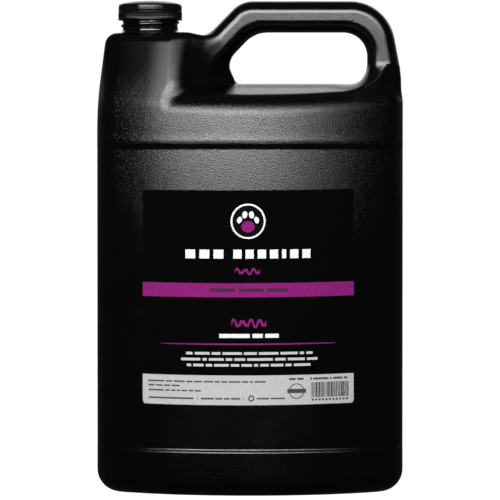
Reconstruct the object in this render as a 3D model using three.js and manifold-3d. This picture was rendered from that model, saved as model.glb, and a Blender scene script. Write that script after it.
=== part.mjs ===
// A one-gallon F-style jug with a ribbed screw cap, a cap liner and a front label.
//
// Millimetres, +Z up. The origin is at the middle of the base. The handle and the
// neck stand in the plane y = 0, the neck at -X, and the label faces -Y.

import * as THREE from 'three';
import { mergeVertices } from 'three/addons/utils/BufferGeometryUtils.js';
import Module from 'manifold-3d';

const wasm = await Module();
wasm.setup();

// ---------------------------------------------------------------- driving dimensions

// Jug body: bowed front and back, rounded upright corners, rounded heel.
const BODY_WIDTH = 192;
const BODY_DEPTH = 106;
const BOW_RADIUS = 145;
const CORNER_RADIUS = 28;
const SIDE_HEEL_RADIUS = 15;
const FRONT_HEEL_RADIUS = 12;
const WALL = 1.05;

// Shelf under the handle: a low roof with its ridge in the plane y = 0.
const RIDGE_HEIGHT = 255.3;
const SHELF_ANGLE = THREE.MathUtils.degToRad(9.5);
const SHELF_ROLL = 11;

// Panels for the labels: front and back are sunk between two sloping steps.
const PANEL_SINK = 1.1;
const PANEL_BOTTOM = 26.3;
const PANEL_TOP = 217.8;
const PANEL_STEP = 3.4;

// Base: a push-up panel inside a flat standing ring.
const PUSH_UP_HEIGHT = 3;
const PUSH_UP_WIDTH = 128;
const PUSH_UP_DEPTH = 54;
const PUSH_UP_CORNER = 20;

// Column under the neck: it leans in from the body to the shoulder.
const NECK_X = -62.7;
const COLUMN_FOOT = 243.5;
const SHOULDER_HEIGHT = 287.8;
const SHOULDER_HALF_DEPTH = 24;
const SHOULDER_ROUNDING = 4;
const COLUMN_EDGE_X = -45.5;
const COLUMN_WEB_X = -24;
const COLUMN_WEB_HALF_DEPTH = 13;
const COLUMN_LEAN_RADIUS = 20;
const SHOULDER_LEFT_X = -90.2;
const SHOULDER_LEFT_RADIUS = 7;
const SHOULDER_RIGHT_X = -37.5;
const SHOULDER_RIGHT_RADIUS = 6;
const SHOULDER_FALL = 1.8;

// Handle: a hollow bar with a flat front, around the finger hole.
const HANDLE_HALF_DEPTH = 14;
const HANDLE_CORE_HALF_DEPTH = 4;
const HANDLE_CHAMFER = 6;

// Outer edge of the handle, from the column over the top to the right side of the body, and
// its finger hole, which has one slanting corner beside the column: corners [x, z, radius].
const HANDLE_CORNERS = [
  [-40.5, 222, 0],
  [95.8, 222, 0],
  [95.8, 258.5, 30],
  [86.2, 307.7, 28],
  [-5.6, 307.7, 18],
  [-40.5, 271.9, 0],
];
const FINGER_HOLE_CORNERS = [
  [-12.6, 254.3, 13.5],
  [73.7, 254.3, 14.5],
  [73.7, 288.1, 15],
  [1.9, 288.1, 17],
  [-12.6, 272.9, 9],
];

// Neck finish: a 38 mm screw thread, six turns to the inch.
const NECK_TOP = 302.9;
const NECK_ROOT_RADIUS = 17.2;
const NECK_CREST_RADIUS = 18.3;
const NECK_BORE_RADIUS = 15.2;
const THREAD_PITCH = 4.233;
const THREAD_HALF_WIDTH = 1.15;
const THREAD_CREST_SHARE = 0.45;
const THREAD_BURIED_SHARE = 0.5;
const NECK_THREAD_START = 291.1;
const NECK_THREAD_TURNS = 2.3;
const NECK_THREAD_START_TURN = 0;

// Screw cap.
const CAP_TOP = 306.1;
const CAP_SKIRT_BOTTOM = 295.7;
const CAP_BAND_BOTTOM = 301.1;
const CAP_SKIRT_RADIUS = 20;
const CAP_BAND_RADIUS = 19.6;
const CAP_BORE_RADIUS = 18.6;
const CAP_TOP_THICKNESS = 1.6;
const CAP_EDGE_ROUNDING = 1;
const CAP_RIBS = 80;
const CAP_RIB_DEPTH = 0.35;
const CAP_GROOVE_SHARE = 0.3;
const CAP_FLANK_SHARE = 0.2;
const CAP_RIM_HEIGHT = 1;
const CAP_CORE_RADIUS = 19.4;
const CAP_THREAD_CREST_RADIUS = 17.6;
const CAP_THREAD_TURNS = 1;
const CAP_THREAD_TURNS_UP = 1.5;
const CAP_THREAD_START_TURN = 0;

// Liner and label.
const LINER_RADIUS = 17.2;
const LINER_THICKNESS = 1;
const LABEL_WIDTH = 130.9;
const LABEL_BOTTOM = 56.8;
const LABEL_TOP = 189.5;
const LABEL_THICKNESS = 0.35;
const LABEL_CORNER = 2;
const LABEL_X = -1.1;

// Gap between touching pieces, and how far cutters run past what they cut.
const GAP = 0.3;
const OVERRUN = 5;
const CUTTER_OVERSHOOT = 1.4;

// Facets: curve segments of an outline and of the bowed plan, and segments of a full turn.
const OUTLINE_SEGMENTS = 3;
const BOW_SEGMENTS = 6;
const TURN_SEGMENTS = 48;
const HALF_FACET_TURN = 0.5 / TURN_SEGMENTS;
const COLUMN_STEPS = 9;

// Points closer than these count as one.
const MERGE_DISTANCE = 1e-4;
const OUTLINE_MERGE_DISTANCE = 1e-3;

const QUARTER = Math.PI / 2;

// ---------------------------------------------------------------- materials

const BLACK_POLYETHYLENE = { color: 0x0b0b0c, roughness: 0.42, metalness: 0 };
const BLACK_POLYPROPYLENE = { color: 0x121213, roughness: 0.38, metalness: 0 };
const LINER_FOAM = { color: 0xe6e3da, roughness: 0.85, metalness: 0 };
const LABEL_FILM = { color: 0x101012, roughness: 0.25, metalness: 0 };

// ---------------------------------------------------------------- solids from geometry

function solid(geometry) {
  geometry.deleteAttribute('normal');
  geometry.deleteAttribute('uv');
  const merged = mergeVertices(geometry, MERGE_DISTANCE);
  return new wasm.Manifold(new wasm.Mesh({
    numProp: 3,
    vertProperties: new Float32Array(merged.attributes.position.array),
    triVerts: new Uint32Array(merged.index.array),
  }));
}

function meshOf(name, manifold, look) {
  const result = manifold.getMesh();
  const geometry = new THREE.BufferGeometry();
  geometry.setAttribute('position', new THREE.BufferAttribute(result.vertProperties, 3));
  geometry.setIndex(new THREE.BufferAttribute(result.triVerts, 1));
  geometry.computeVertexNormals();
  const mesh = new THREE.Mesh(geometry, new THREE.MeshStandardMaterial(look));
  mesh.name = name;
  return mesh;
}

// An outline is extruded along +Z (upright), along Y (drawn in x, z) or along X (drawn in y, z).
const AXIS_X = new THREE.Vector3(1, 0, 0);
const AXIS_Y = new THREE.Vector3(0, 1, 0);
const AXIS_Z = new THREE.Vector3(0, 0, 1);
const UPRIGHT = new THREE.Matrix4();
const ALONG_Y = new THREE.Matrix4().makeBasis(AXIS_X, AXIS_Z, AXIS_Y.clone().negate());
const ALONG_X = new THREE.Matrix4().makeBasis(AXIS_Y, AXIS_Z, AXIS_X);

function prism(shape, from, to, direction, options = {}) {
  const geometry = new THREE.ExtrudeGeometry(shape, {
    depth: to - from,
    bevelEnabled: false,
    curveSegments: OUTLINE_SEGMENTS,
    ...options,
  });
  geometry.translate(0, 0, from);
  geometry.applyMatrix4(direction);
  return solid(geometry);
}

// A solid turned about the neck's axis, from a profile of [radius, height] points.
function turned(profile) {
  const points = profile.map(([radius, height]) => new THREE.Vector2(radius, height));
  const geometry = new THREE.LatheGeometry(points, TURN_SEGMENTS);
  geometry.rotateX(QUARTER);
  geometry.translate(NECK_X, 0, 0);
  return solid(geometry);
}

// A closed outline through corners [x, y, radius], each rounded by an arc.
function roundedOutline(path, corners) {
  const count = corners.length;
  corners.forEach(([x, y, radius], index) => {
    const corner = new THREE.Vector2(x, y);
    const [beforeX, beforeY] = corners[(index + count - 1) % count];
    const [afterX, afterY] = corners[(index + 1) % count];
    const back = new THREE.Vector2(beforeX, beforeY).sub(corner).normalize();
    const ahead = new THREE.Vector2(afterX, afterY).sub(corner).normalize();
    if (radius > 0) {
      roundCorner(path, corner, back, ahead, radius);
    } else if (index > 0) {
      path.lineTo(x, y);
    } else {
      path.moveTo(x, y);
    }
  });
  path.closePath();
  return path;
}

// The arc that rounds a corner between the directions back and ahead.
function roundCorner(path, corner, back, ahead, radius) {
  const halfAngle = Math.acos(back.dot(ahead)) / 2;
  const start = corner.clone().addScaledVector(back, radius / Math.tan(halfAngle));
  const end = corner.clone().addScaledVector(ahead, radius / Math.tan(halfAngle));
  const inwards = back.clone().add(ahead).normalize();
  const centre = corner.clone().addScaledVector(inwards, radius / Math.sin(halfAngle));
  const from = start.sub(centre).angle();
  const to = end.sub(centre).angle();
  path.absarc(centre.x, centre.y, radius, from, to, back.cross(ahead) > 0);
}

// An outline with every edge moved inwards by a distance.
function insetShape(shape, distance) {
  const points = shape.getPoints(OUTLINE_SEGMENTS).filter((point, index, all) => {
    return point.distanceTo(all[(index + 1) % all.length]) > OUTLINE_MERGE_DISTANCE;
  });
  const turnSign = THREE.ShapeUtils.isClockWise(points) ? -1 : 1;
  const moved = points.map((point, index) => {
    const before = points[(index + points.length - 1) % points.length];
    const after = points[(index + 1) % points.length];
    const edgeIn = point.clone().sub(before).normalize();
    const edgeOut = after.clone().sub(point).normalize();
    const normal = new THREE.Vector2(-edgeIn.y - edgeOut.y, edgeIn.x + edgeOut.x).normalize();
    const stretch = 1 / Math.sqrt((1 + edgeIn.dot(edgeOut)) / 2);
    return point.clone().addScaledVector(normal, turnSign * distance * stretch);
  });
  return new THREE.Shape(moved);
}

// ---------------------------------------------------------------- jug body

// Plan section of the body, moved inwards by an inset. The bow's centre lies behind y = 0.
const BOW_CENTRE_Y = BODY_DEPTH / 2 - BOW_RADIUS;
const CORNER_X = BODY_WIDTH / 2 - CORNER_RADIUS;
const BOW_SWING = Math.asin(CORNER_X / (BOW_RADIUS - CORNER_RADIUS));
const CORNER_Y = BOW_CENTRE_Y + (BOW_RADIUS - CORNER_RADIUS) * Math.cos(BOW_SWING);

function planShape(inset) {
  const bow = BOW_RADIUS - inset;
  const corner = CORNER_RADIUS - inset;
  const shape = new THREE.Shape();
  shape.absarc(CORNER_X, CORNER_Y, corner, 0, QUARTER - BOW_SWING);
  shape.absarc(0, BOW_CENTRE_Y, bow, QUARTER - BOW_SWING, QUARTER + BOW_SWING);
  shape.absarc(-CORNER_X, CORNER_Y, corner, QUARTER + BOW_SWING, 2 * QUARTER);
  shape.absarc(-CORNER_X, -CORNER_Y, corner, 2 * QUARTER, 3 * QUARTER - BOW_SWING);
  shape.absarc(0, -BOW_CENTRE_Y, bow, 3 * QUARTER - BOW_SWING, 3 * QUARTER + BOW_SWING);
  shape.absarc(CORNER_X, -CORNER_Y, corner, 3 * QUARTER + BOW_SWING, 4 * QUARTER);
  return shape;
}

// Half-depth of the bowed front at a distance x from the middle.
function bowDepth(x) {
  return BOW_CENTRE_Y + Math.sqrt(BOW_RADIUS ** 2 - x ** 2);
}

// Body seen from the front: straight sides and a rounded heel.
function bodyFrontShape() {
  const side = BODY_WIDTH / 2;
  const top = RIDGE_HEIGHT + OVERRUN;
  return roundedOutline(new THREE.Shape(), [
    [-side, 0, SIDE_HEEL_RADIUS],
    [side, 0, SIDE_HEEL_RADIUS],
    [side, top, 0],
    [-side, top, 0],
  ]);
}

// Body seen from the side: rounded heel, upright walls and the roof of the shelf.
function bodySideShape() {
  const front = BODY_DEPTH / 2;
  const eaves = RIDGE_HEIGHT - front * Math.tan(SHELF_ANGLE);
  return roundedOutline(new THREE.Shape(), [
    [-front, 0, FRONT_HEEL_RADIUS],
    [front, 0, FRONT_HEEL_RADIUS],
    [front, eaves, SHELF_ROLL],
    [0, RIDGE_HEIGHT, 0],
    [-front, eaves, SHELF_ROLL],
  ]);
}

// What the sunk label panels take away, front and back, between their sloping steps.
function panelCutters(grow) {
  const options = {
    bevelEnabled: true,
    bevelThickness: PANEL_STEP * CUTTER_OVERSHOOT,
    bevelSize: PANEL_SINK * CUTTER_OVERSHOOT,
    bevelOffset: -PANEL_SINK * CUTTER_OVERSHOOT,
    bevelSegments: 1,
    curveSegments: BOW_SEGMENTS,
  };
  const reach = BODY_WIDTH / 2;
  const shape = new THREE.Shape();
  const sunkRadius = BOW_RADIUS - grow;
  const swing = Math.asin(reach / sunkRadius);
  shape.absarc(0, BOW_CENTRE_Y - PANEL_SINK, sunkRadius, QUARTER - swing, QUARTER + swing);
  shape.lineTo(-reach, BODY_DEPTH / 2 + OVERRUN);
  shape.lineTo(reach, BODY_DEPTH / 2 + OVERRUN);
  const from = PANEL_BOTTOM - grow + PANEL_STEP;
  const to = PANEL_TOP + grow - PANEL_STEP;
  const back = prism(shape, from, to, UPRIGHT, options);
  return back.add(back.rotate([0, 0, 180]));
}

function pushUp(grow) {
  const halfWidth = PUSH_UP_WIDTH / 2 + grow;
  const halfDepth = PUSH_UP_DEPTH / 2 + grow;
  const shape = roundedOutline(new THREE.Shape(), [
    [-halfWidth, -halfDepth, PUSH_UP_CORNER],
    [halfWidth, -halfDepth, PUSH_UP_CORNER],
    [halfWidth, halfDepth, PUSH_UP_CORNER],
    [-halfWidth, halfDepth, PUSH_UP_CORNER],
  ]);
  return prism(shape, -OVERRUN, PUSH_UP_HEIGHT + grow, UPRIGHT);
}

function bodySolid(inset) {
  const half = BODY_WIDTH / 2 + OVERRUN;
  const upright = prism(planShape(inset), -OVERRUN, RIDGE_HEIGHT + OVERRUN, UPRIGHT, {
    curveSegments: BOW_SEGMENTS,
  });
  const front = prism(insetShape(bodyFrontShape(), inset), -half, half, ALONG_Y);
  const side = prism(insetShape(bodySideShape(), inset), -half, half, ALONG_X);
  return upright.intersect(front).intersect(side)
    .subtract(panelCutters(inset))
    .subtract(pushUp(inset));
}

// ---------------------------------------------------------------- column under the neck

// Column seen from the front: it leans in at the left and falls away gently to the right.
function columnFrontShape() {
  const left = -BODY_WIDTH / 2;
  return roundedOutline(new THREE.Shape(), [
    [left, COLUMN_FOOT - 2 * OVERRUN, 0],
    [COLUMN_WEB_X, COLUMN_FOOT - 2 * OVERRUN, 0],
    [COLUMN_WEB_X, SHOULDER_HEIGHT - SHOULDER_FALL, 0],
    [SHOULDER_RIGHT_X, SHOULDER_HEIGHT, SHOULDER_RIGHT_RADIUS],
    [SHOULDER_LEFT_X, SHOULDER_HEIGHT, SHOULDER_LEFT_RADIUS],
    [left, COLUMN_FOOT, COLUMN_LEAN_RADIUS],
  ]);
}

// Column seen from above at its foot: cut back slantwise behind its front-right edge.
function columnPlanShape() {
  const edge = new THREE.Vector2(COLUMN_EDGE_X, bowDepth(COLUMN_EDGE_X));
  const web = new THREE.Vector2(COLUMN_WEB_X, COLUMN_WEB_HALF_DEPTH);
  const beyond = web.clone().lerp(edge, 2);
  return new THREE.Shape([
    new THREE.Vector2(-BODY_WIDTH, -beyond.y),
    new THREE.Vector2(beyond.x, -beyond.y),
    new THREE.Vector2(web.x, -web.y),
    web,
    beyond,
    new THREE.Vector2(-BODY_WIDTH, beyond.y),
  ]);
}

// How much of its full depth the column keeps at a height: a straight lean, then a rounded
// shoulder.
function columnDepthShare(height) {
  const { clamp, lerp } = THREE.MathUtils;
  const rise = clamp((height - COLUMN_FOOT) / (SHOULDER_HEIGHT - COLUMN_FOOT), 0, 1);
  const leaning = lerp(BODY_DEPTH / 2, SHOULDER_HALF_DEPTH, rise);
  const past = clamp(height - (SHOULDER_HEIGHT - SHOULDER_ROUNDING), 0, SHOULDER_ROUNDING);
  const rounding = SHOULDER_ROUNDING - Math.sqrt(SHOULDER_ROUNDING ** 2 - past ** 2);
  return (leaning - rounding) / (BODY_DEPTH / 2);
}

function columnSolid(inset) {
  const bottom = COLUMN_FOOT - OVERRUN;
  const options = { depth: SHOULDER_HEIGHT - bottom, steps: COLUMN_STEPS, bevelEnabled: false };
  const outlines = [planShape(inset), insetShape(columnPlanShape(), inset)];
  const [plan, cut] = outlines.map((outline) => {
    const geometry = new THREE.ExtrudeGeometry(outline, { ...options, curveSegments: BOW_SEGMENTS });
    geometry.translate(0, 0, bottom);
    const position = geometry.attributes.position;
    for (let index = 0; index < position.count; index += 1) {
      const share = columnDepthShare(position.getZ(index));
      const full = BODY_DEPTH / 2;
      position.setY(index, position.getY(index) * (full * share - inset) / (full - inset));
    }
    return solid(geometry);
  });
  const front = prism(insetShape(columnFrontShape(), inset), -BODY_DEPTH, BODY_DEPTH, ALONG_Y);
  return plan.intersect(cut).intersect(front);
}

// ---------------------------------------------------------------- handle

function handleSolid(inset) {
  const shape = insetShape(roundedOutline(new THREE.Shape(), HANDLE_CORNERS), inset);
  shape.holes.push(insetShape(roundedOutline(new THREE.Path(), FINGER_HOLE_CORNERS), -inset));
  const core = HANDLE_CORE_HALF_DEPTH - inset;
  return prism(shape, -core, core, ALONG_Y, {
    bevelEnabled: true,
    bevelThickness: HANDLE_HALF_DEPTH - HANDLE_CORE_HALF_DEPTH,
    bevelSize: HANDLE_CHAMFER,
    bevelOffset: -HANDLE_CHAMFER,
    bevelSegments: 2,
  });
}

// ---------------------------------------------------------------- neck and threads

// A thread: its section, drawn as distance from the root and depth below the helix, is swept
// about the neck. Its flanks run on below the root, and its steps fall between the facets that
// it stands on.
function thread(rootRadius, crestRadius, startHeight, startTurn, turns) {
  const out = crestRadius - rootRadius;
  const crestHalf = THREAD_HALF_WIDTH * THREAD_CREST_SHARE;
  const baseHalf = THREAD_HALF_WIDTH + (THREAD_HALF_WIDTH - crestHalf) * THREAD_BURIED_SHARE;
  const buried = -out * THREAD_BURIED_SHARE;
  const section = new THREE.Shape([
    new THREE.Vector2(buried, -baseHalf),
    new THREE.Vector2(out, -crestHalf),
    new THREE.Vector2(out, crestHalf),
    new THREE.Vector2(buried, baseHalf),
  ]);
  const steps = Math.round(turns * TURN_SEGMENTS);
  const geometry = new THREE.ExtrudeGeometry(section, { depth: turns, steps, bevelEnabled: false });
  const position = geometry.attributes.position;
  for (let index = 0; index < position.count; index += 1) {
    const turn = position.getZ(index) + HALF_FACET_TURN;
    const radius = rootRadius + position.getX(index);
    const height = startHeight - position.getY(index) + turn * THREAD_PITCH;
    const angle = (startTurn + turn) * 4 * QUARTER;
    position.setXYZ(index, NECK_X + radius * Math.cos(angle), radius * Math.sin(angle), height);
  }
  return solid(geometry);
}

// A plain cylinder about the neck's axis.
function drum(radius, bottom, top) {
  return turned([[0, bottom], [radius, bottom], [radius, top], [0, top]]);
}

function neckOuter() {
  const barrel = drum(NECK_ROOT_RADIUS, SHOULDER_HEIGHT - OVERRUN, NECK_TOP);
  const screw = thread(
    NECK_ROOT_RADIUS,
    NECK_CREST_RADIUS,
    NECK_THREAD_START,
    NECK_THREAD_START_TURN,
    NECK_THREAD_TURNS,
  );
  return barrel.add(screw);
}

function neckBore() {
  return drum(NECK_BORE_RADIUS, SHOULDER_HEIGHT - 2 * OVERRUN, NECK_TOP + OVERRUN);
}

function jugShell() {
  const outside = bodySolid(0).add(columnSolid(0)).add(handleSolid(0)).add(neckOuter());
  const inside = bodySolid(WALL).add(columnSolid(WALL)).add(handleSolid(WALL)).add(neckBore());
  return outside.subtract(inside);
}

// ---------------------------------------------------------------- cap, liner and label

// Ribbed ring: a toothed outline with every rib a flat-topped tooth.
function ribbedShape() {
  const root = CAP_SKIRT_RADIUS - CAP_RIB_DEPTH;
  const crestStart = CAP_GROOVE_SHARE + CAP_FLANK_SHARE;
  const toothCorners = [
    [0, root],
    [CAP_GROOVE_SHARE, root],
    [crestStart, CAP_SKIRT_RADIUS],
    [1 - CAP_FLANK_SHARE, CAP_SKIRT_RADIUS],
  ];
  const points = [];
  for (let rib = 0; rib < CAP_RIBS; rib += 1) {
    toothCorners.forEach(([share, radius]) => {
      const angle = (rib + share) / CAP_RIBS * 4 * QUARTER;
      points.push(new THREE.Vector2(radius * Math.cos(angle), radius * Math.sin(angle)));
    });
  }
  return new THREE.Shape(points);
}

function capBody() {
  const ringBottom = CAP_SKIRT_BOTTOM + CAP_RIM_HEIGHT / 2;
  const bandFoot = CAP_BAND_BOTTOM - CAP_RIM_HEIGHT / 2;
  const ring = prism(ribbedShape(), ringBottom, CAP_BAND_BOTTOM, UPRIGHT);
  const core = turned([
    [0, CAP_SKIRT_BOTTOM],
    [CAP_SKIRT_RADIUS, CAP_SKIRT_BOTTOM],
    [CAP_SKIRT_RADIUS, CAP_SKIRT_BOTTOM + CAP_RIM_HEIGHT],
    [CAP_CORE_RADIUS, CAP_SKIRT_BOTTOM + CAP_RIM_HEIGHT],
    [CAP_CORE_RADIUS, bandFoot],
    [CAP_BAND_RADIUS, bandFoot],
    [CAP_BAND_RADIUS, CAP_TOP - CAP_EDGE_ROUNDING],
    [CAP_BAND_RADIUS - CAP_EDGE_ROUNDING, CAP_TOP],
    [0, CAP_TOP],
  ]);
  return core.add(ring.translate([NECK_X, 0, 0]));
}

function screwCap() {
  const bore = drum(CAP_BORE_RADIUS, CAP_SKIRT_BOTTOM - OVERRUN, CAP_TOP - CAP_TOP_THICKNESS);
  const turnsUp = CAP_THREAD_TURNS_UP + CAP_THREAD_START_TURN;
  const screw = thread(
    CAP_BORE_RADIUS,
    CAP_THREAD_CREST_RADIUS,
    NECK_THREAD_START + turnsUp * THREAD_PITCH,
    CAP_THREAD_START_TURN,
    CAP_THREAD_TURNS,
  );
  return capBody().subtract(bore).add(screw);
}

function capLiner() {
  const top = CAP_TOP - CAP_TOP_THICKNESS - GAP;
  return drum(LINER_RADIUS, top - LINER_THICKNESS, top);
}

// Film that follows the sunk front panel, cut to a rounded rectangle.
function frontLabel() {
  const inner = BOW_RADIUS + GAP;
  const outer = inner + LABEL_THICKNESS;
  const left = LABEL_X - LABEL_WIDTH / 2;
  const right = LABEL_X + LABEL_WIDTH / 2;
  const swing = Math.asin((OVERRUN - left) / inner);
  const centreY = PANEL_SINK - BOW_CENTRE_Y;
  const strip = new THREE.Shape();
  strip.absarc(0, centreY, inner, 3 * QUARTER - swing, 3 * QUARTER + swing);
  strip.absarc(0, centreY, outer, 3 * QUARTER + swing, 3 * QUARTER - swing, true);
  const sheet = prism(strip, LABEL_BOTTOM, LABEL_TOP, UPRIGHT, { curveSegments: 2 * BOW_SEGMENTS });
  const face = roundedOutline(new THREE.Shape(), [
    [left, LABEL_BOTTOM, LABEL_CORNER],
    [right, LABEL_BOTTOM, LABEL_CORNER],
    [right, LABEL_TOP, LABEL_CORNER],
    [left, LABEL_TOP, LABEL_CORNER],
  ]);
  return sheet.intersect(prism(face, -BODY_DEPTH, BODY_DEPTH, ALONG_Y));
}

// ---------------------------------------------------------------- assembly

const group = new THREE.Group();
group.add(
  meshOf('jug_shell', jugShell(), BLACK_POLYETHYLENE),
  meshOf('screw_cap', screwCap(), BLACK_POLYPROPYLENE),
  meshOf('cap_liner', capLiner(), LINER_FOAM),
  meshOf('front_label', frontLabel(), LABEL_FILM),
);

export default group;
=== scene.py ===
"""Looks for a one-gallon F-style jug with a ribbed screw cap, a foam liner and a label.

Shapes are worked out in millimetres and handed to Blender in metres. The neck is at -X, the
label faces -Y and the jug stands on z = 0.
"""

import math

import bpy
import numpy as np
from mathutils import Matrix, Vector


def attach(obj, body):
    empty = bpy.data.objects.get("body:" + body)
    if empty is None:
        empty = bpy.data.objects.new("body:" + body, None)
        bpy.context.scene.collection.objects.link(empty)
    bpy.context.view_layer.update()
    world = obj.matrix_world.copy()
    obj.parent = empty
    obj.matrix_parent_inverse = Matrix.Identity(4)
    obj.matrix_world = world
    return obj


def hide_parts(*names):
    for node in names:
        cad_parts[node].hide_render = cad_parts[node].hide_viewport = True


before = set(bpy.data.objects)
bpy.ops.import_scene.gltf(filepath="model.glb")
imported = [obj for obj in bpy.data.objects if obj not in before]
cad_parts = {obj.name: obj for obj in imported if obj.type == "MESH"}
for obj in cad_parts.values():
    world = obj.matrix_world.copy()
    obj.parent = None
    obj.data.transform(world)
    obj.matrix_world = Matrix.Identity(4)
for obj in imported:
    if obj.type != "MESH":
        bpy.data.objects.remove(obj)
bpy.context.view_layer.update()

MM = 0.001
TURN = 2 * math.pi

# ------------------------------------------------------------------ dimensions, millimetres

BOW_RADIUS = 145.0
BOW_CENTRE = -92.0
CORNER_RADIUS = 28.0
CORNER_X = 68.0
CORNER_Y = 3.2
FRONT_HEEL = 11.5
SIDE_HEEL = 14.0
HEEL_SPAN = (35.0, 90.0)
WALL = 1.05

PANEL_SINK = 1.25
LOWER_STEP = (26.95, 29.45)
UPPER_STEP = (214.3, 218.6)
LIP = (220.3, 1.9, 0.25)
LEAN_IN = (150.0, 0.0004)
LEAN_IN_UNDER_COLUMN = 0.5
UNDER_COLUMN = (35.0, 65.0)

RIDGE = 255.3
ROOF_SLOPE = 0.188
ROOF_RIDGE_ROUNDING = 6.0
SHELF_ROLL = 11.0

CREASE = 243.5
CREASE_BLEND = 6.0
SHOULDER = 287.8
SHOULDER_FALL = 1.8
SHOULDER_FALL_SPAN = (-40.0, -28.0)
SHOULDER_ROUNDING = 5.0
LEAN_BACK = (0.29, 0.0004)
SIDE_KEPT = 9.0
BACK_LEAN_SPAN = (10.0, 40.0)
LEFT_LEAN = 0.131
LEFT_BLEND = 34.0
LEFT_LEAN_SPAN = (30.0, 70.0)
EDGE = (-45.5, 45.7)
WEB = (-13.5, 4.0)
WEB_SPREAD = (0.26, 262.0)
WEB_LEAST_ROOM = 10.0
COLUMN_EDGE_ROUNDING = 6.5
COLUMN_FILLET = 3.5
HOLE_EDGE_ROUNDING = 2.0
ROLL_SPAN = (246.0, 258.0)

PUSH_UP = (64.0, 27.0, 20.0, 3.0)
PUSH_UP_SLOPE = 5.0

HANDLE_HALF_DEPTH = 14.0
HANDLE_FACE_SLOPE = (0.01, 298.0)
HANDLE_FOOT = (270.0, 0.05, 20.0)
HANDLE_FOOT_SPAN = (45.0, 72.0)
FOOT_INSET = (0.5, 4.5)
FOOT_INSET_SPAN = (6.0, 14.0)
FOOT_INSET_FADE = 6.0
FOOT_INSET_OFF = 12.0
FOOT_EDGE_ROUNDING = 1.5
HANDLE_FILLET = (5.0, 2.5)
HANDLE_FILLET_SPAN = (50.0, 80.0)
HANDLE_ROUND_IN = 7.5
HANDLE_ROUND_DEEP = 11.5
HANDLE_CORNERS = (
    (-40.5, 222.0, 4.0),
    (93.6, 222.0, 4.0),
    (95.6, 258.5, 28.0),
    (86.2, 307.7, 28.0),
    (-5.6, 307.7, 18.0),
    (-40.5, 271.9, 4.0),
)
HOLE_CORNERS = (
    (-13.0, 256.3, 12.5),
    (73.7, 253.8, 14.5),
    (73.7, 288.1, 15.0),
    (0.4, 288.1, 16.0),
    (-12.9, 274.0, 9.0),
)

TUBE_HOLE_CORNERS = (
    (-30.8, 253.8, 1.0),
    (73.7, 253.8, 14.5),
    (73.7, 288.1, 15.0),
    (1.9, 288.1, 17.0),
)

NECK_X = -62.7
NECK_BORE = 15.2
NECK_ROOT = 17.2
NECK_TOP = 302.9
NECK_HOLE = 16.2
THREAD_OUT = 1.1
THREAD_PITCH = 4.233
THREAD_HALF = 1.2
NECK_THREAD_START = 290.1
NECK_THREAD_TURNS = 2.3

CAP_BOTTOM = 295.7
CAP_BAND = 301.1
CAP_TOP = 306.1
CAP_CROWN = 1.9
CAP_RADIUS = 20.0
CAP_BAND_RADIUS = 19.8
CAP_BORE = 18.6
CAP_UNDERSIDE = 304.5
CAP_RIBS = 80
CAP_RIB_DEPTH = 0.4
CAP_THREAD_START = 296.45

LINER_RADIUS = 17.2
LINER_BOTTOM = 303.2
LINER_TOP = 304.2

LABEL = (-66.6, 64.4, 56.8, 189.5)
LABEL_CORNER = 2.0
LABEL_SAG = 0.45
LABEL_TILT = 0.004


# ------------------------------------------------------------------ distance fields


def smoothstep(value, low, high):
    share = np.clip((value - low) / (high - low), 0.0, 1.0)
    return share * share * (3.0 - 2.0 * share)


def ramp(value, width):
    """0 below, value above, joined by a parabola of that width."""
    middle = (value + width / 2) ** 2 / (2 * width)
    return np.where(value < -width / 2, 0.0, np.where(value > width / 2, value, middle))


def smooth_min(a, b, width):
    share = np.clip(0.5 + 0.5 * (b - a) / width, 0.0, 1.0)
    return b + (a - b) * share - width * share * (1.0 - share)


def round_max(a, b, radius):
    """Intersection of two solids with the edge between them rounded."""
    corner = np.hypot(np.maximum(a + radius, 0.0), np.maximum(b + radius, 0.0))
    return np.minimum(-radius, np.maximum(a, b)) + corner


def plan_distance(x, y):
    """Distance to the plan outline: two bows, joined by rounded corners at the sides."""
    x, y = np.abs(x), np.abs(y)
    to_arc = np.hypot(x, y - BOW_CENTRE) - (BOW_RADIUS - CORNER_RADIUS)
    to_side = x - CORNER_X
    tip = np.hypot(to_side, y - CORNER_Y)
    facing_bow = x * (CORNER_Y - BOW_CENTRE) <= CORNER_X * (y - BOW_CENTRE)
    outside = np.where(facing_bow, to_arc, np.where(y > CORNER_Y, tip, to_side))
    inside = np.maximum(to_arc, to_side)
    return np.where(inside < 0, inside, outside) - CORNER_RADIUS


def rounded_outline(corners):
    """The lines and arcs of a convex outline through corners (x, z, radius)."""
    pieces, ends = [], []
    count = len(corners)
    for i, (x, z, radius) in enumerate(corners):
        corner = np.array((x, z))
        back = np.array(corners[i - 1][:2]) - corner
        ahead = np.array(corners[(i + 1) % count][:2]) - corner
        back, ahead = back / np.hypot(*back), ahead / np.hypot(*ahead)
        half = math.acos(float(back @ ahead)) / 2
        bisector = (back + ahead) / np.hypot(*(back + ahead))
        centre = corner + bisector * radius / math.sin(half)
        reach = radius / math.tan(half)
        pieces.append(("arc", centre, radius, -bisector, math.pi / 2 - half))
        ends.append((corner + back * reach, corner + ahead * reach))
    middle = np.mean([c[:2] for c in corners], axis=0)
    for i in range(count):
        start, end = ends[i][1], ends[(i + 1) % count][0]
        length = np.hypot(*(end - start))
        along = (end - start) / length
        normal = np.array((along[1], -along[0]))
        if (middle - start) @ normal > 0:
            normal = -normal
        pieces.append(("line", start, along, normal, length))
    return pieces


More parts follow.
